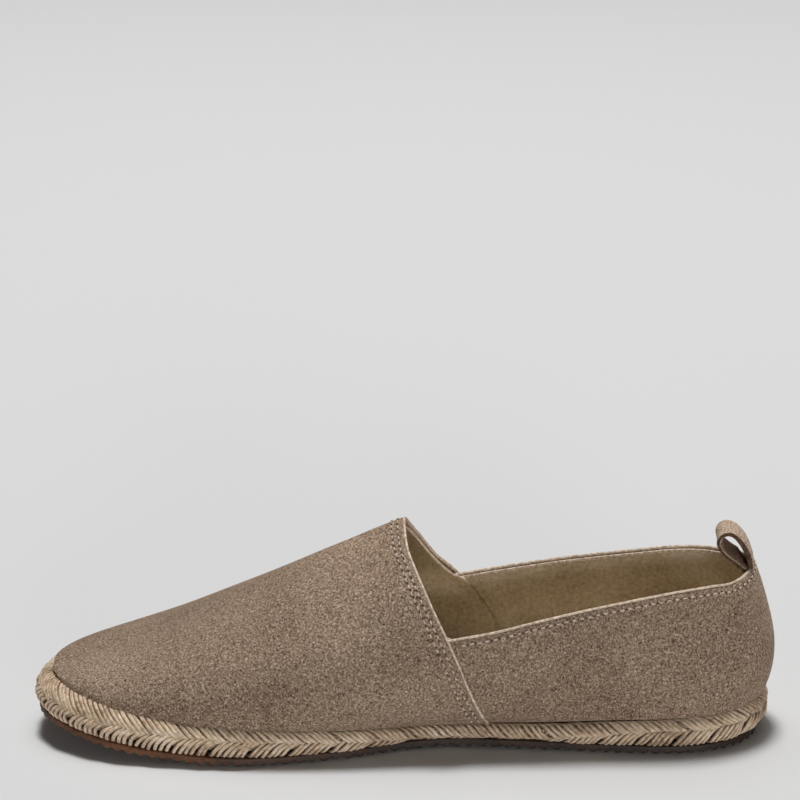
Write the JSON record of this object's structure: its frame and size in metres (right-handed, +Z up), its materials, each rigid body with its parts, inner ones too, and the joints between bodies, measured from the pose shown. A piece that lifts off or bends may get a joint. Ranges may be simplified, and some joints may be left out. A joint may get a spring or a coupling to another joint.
{
  "type": "espadrille",
  "caption": "Low slip-on espadrille with a suede upper, canvas lining, heel pull loop, plaited jute edge and a thin ribbed rubber outsole.",
  "frame": {"origin": "on the floor, under the middle of the shoe's bounding box", "axes": "+X from the heel towards the toe, +Y towards the inner (medial) side, +Z up"},
  "size_m": [0.283, 0.0988, 0.0817],
  "materials": {
    "suede": "matt taupe suede, nap out",
    "raw_edge": "pale cut edge of the suede",
    "canvas": "olive-brown cotton canvas",
    "jute": "natural plaited jute",
    "thread": "light taupe sewing thread",
    "rubber": "matt dark brown crepe-textured rubber"
  },
  "bodies": {
    "root": {"outsole": "rubber", "midsole": "jute", "insole": "canvas", "upper": "suede", "pull_loop": "suede"}
  },
  "joints": []
}
